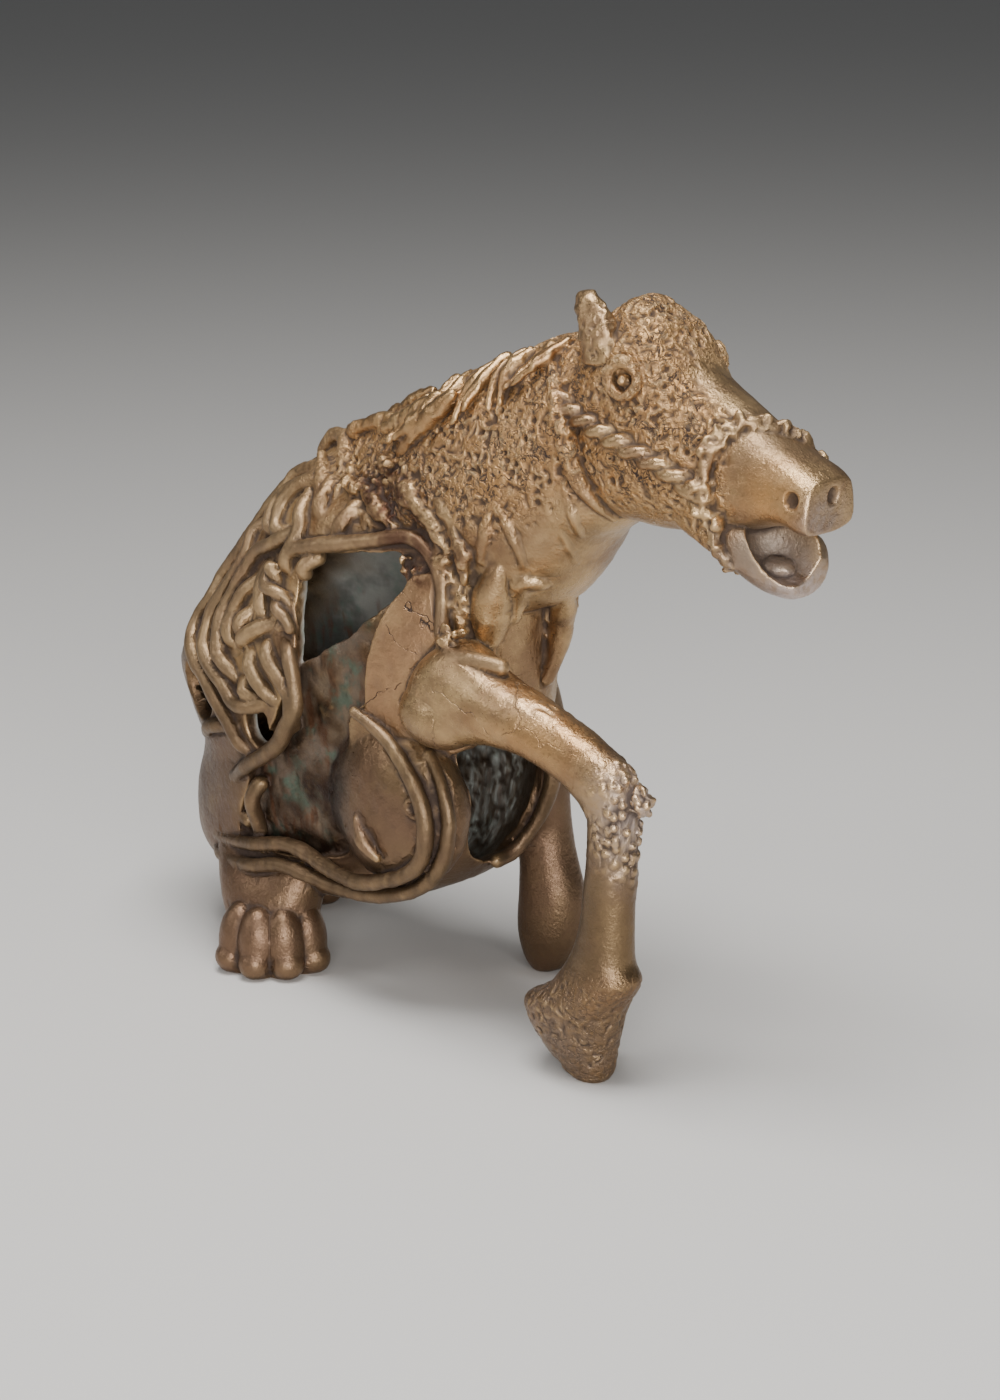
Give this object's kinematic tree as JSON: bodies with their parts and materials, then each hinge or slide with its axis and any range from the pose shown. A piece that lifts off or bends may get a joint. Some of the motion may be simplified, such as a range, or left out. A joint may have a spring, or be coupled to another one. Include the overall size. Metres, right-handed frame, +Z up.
{
  "type": "brass horse sculpture",
  "caption": "Small cast brass horse seated on hind paws, hollow body with open flank, wire-laid rump, braying head and raised shoulder over slim forelegs.",
  "frame": {"origin": "middle of the figure's box, on the surface that its feet stand on", "axes": "+X towards the muzzle, +Z up, +Y towards the figure's left side"},
  "size_m": [0.1748, 0.057, 0.1529],
  "materials": {
    "cast_brass": "as cast, worn and patinated"
  },
  "bodies": {
    "root": {"horse": "cast_brass"}
  },
  "joints": []
}
